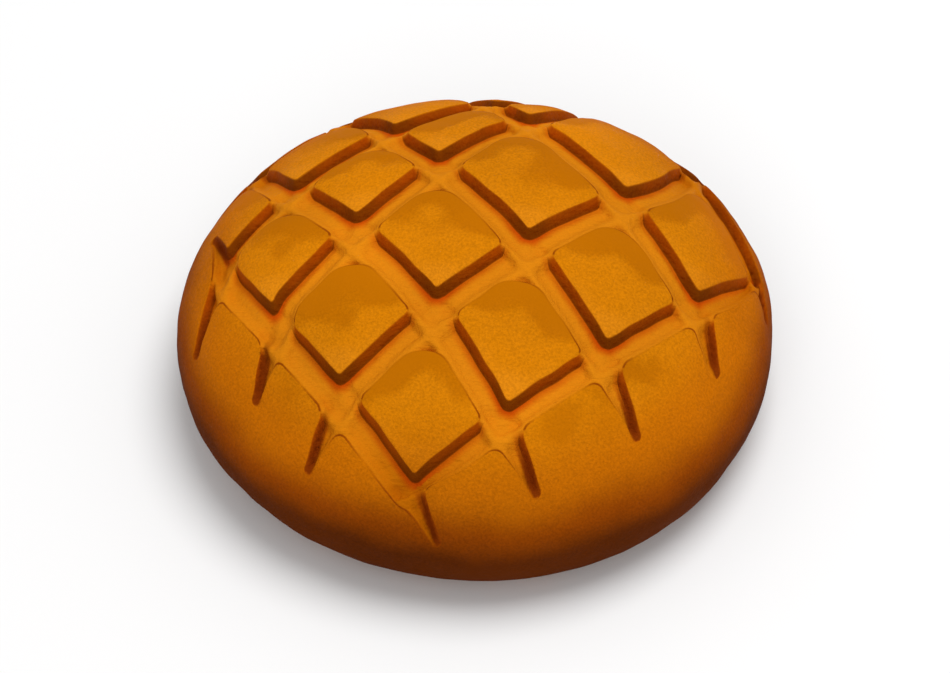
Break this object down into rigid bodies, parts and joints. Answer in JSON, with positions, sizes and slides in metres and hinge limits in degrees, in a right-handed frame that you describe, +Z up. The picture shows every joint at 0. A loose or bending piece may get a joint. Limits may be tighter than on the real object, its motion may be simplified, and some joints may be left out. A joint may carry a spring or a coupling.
{
  "type": "melon pan bun",
  "caption": "Round domed sweet bun with a scored cookie-dough crust: raised pads in a diamond lattice of open grooves above a plain skirt, on a flat baked underside.",
  "frame": {"origin": "middle of the bun's box, on the flat underside that it rests on", "axes": "+Z up; the near ends of the grooves, with their long tails, face -Y; +X along the bun's slightly wider way"},
  "size_m": [0.1172, 0.1136, 0.0493],
  "materials": {
    "crust": "dull golden-brown baked crust, finely grained, darker on the groove walls and towards the underside"
  },
  "bodies": {
    "root": {"bun": "crust"}
  },
  "joints": []
}
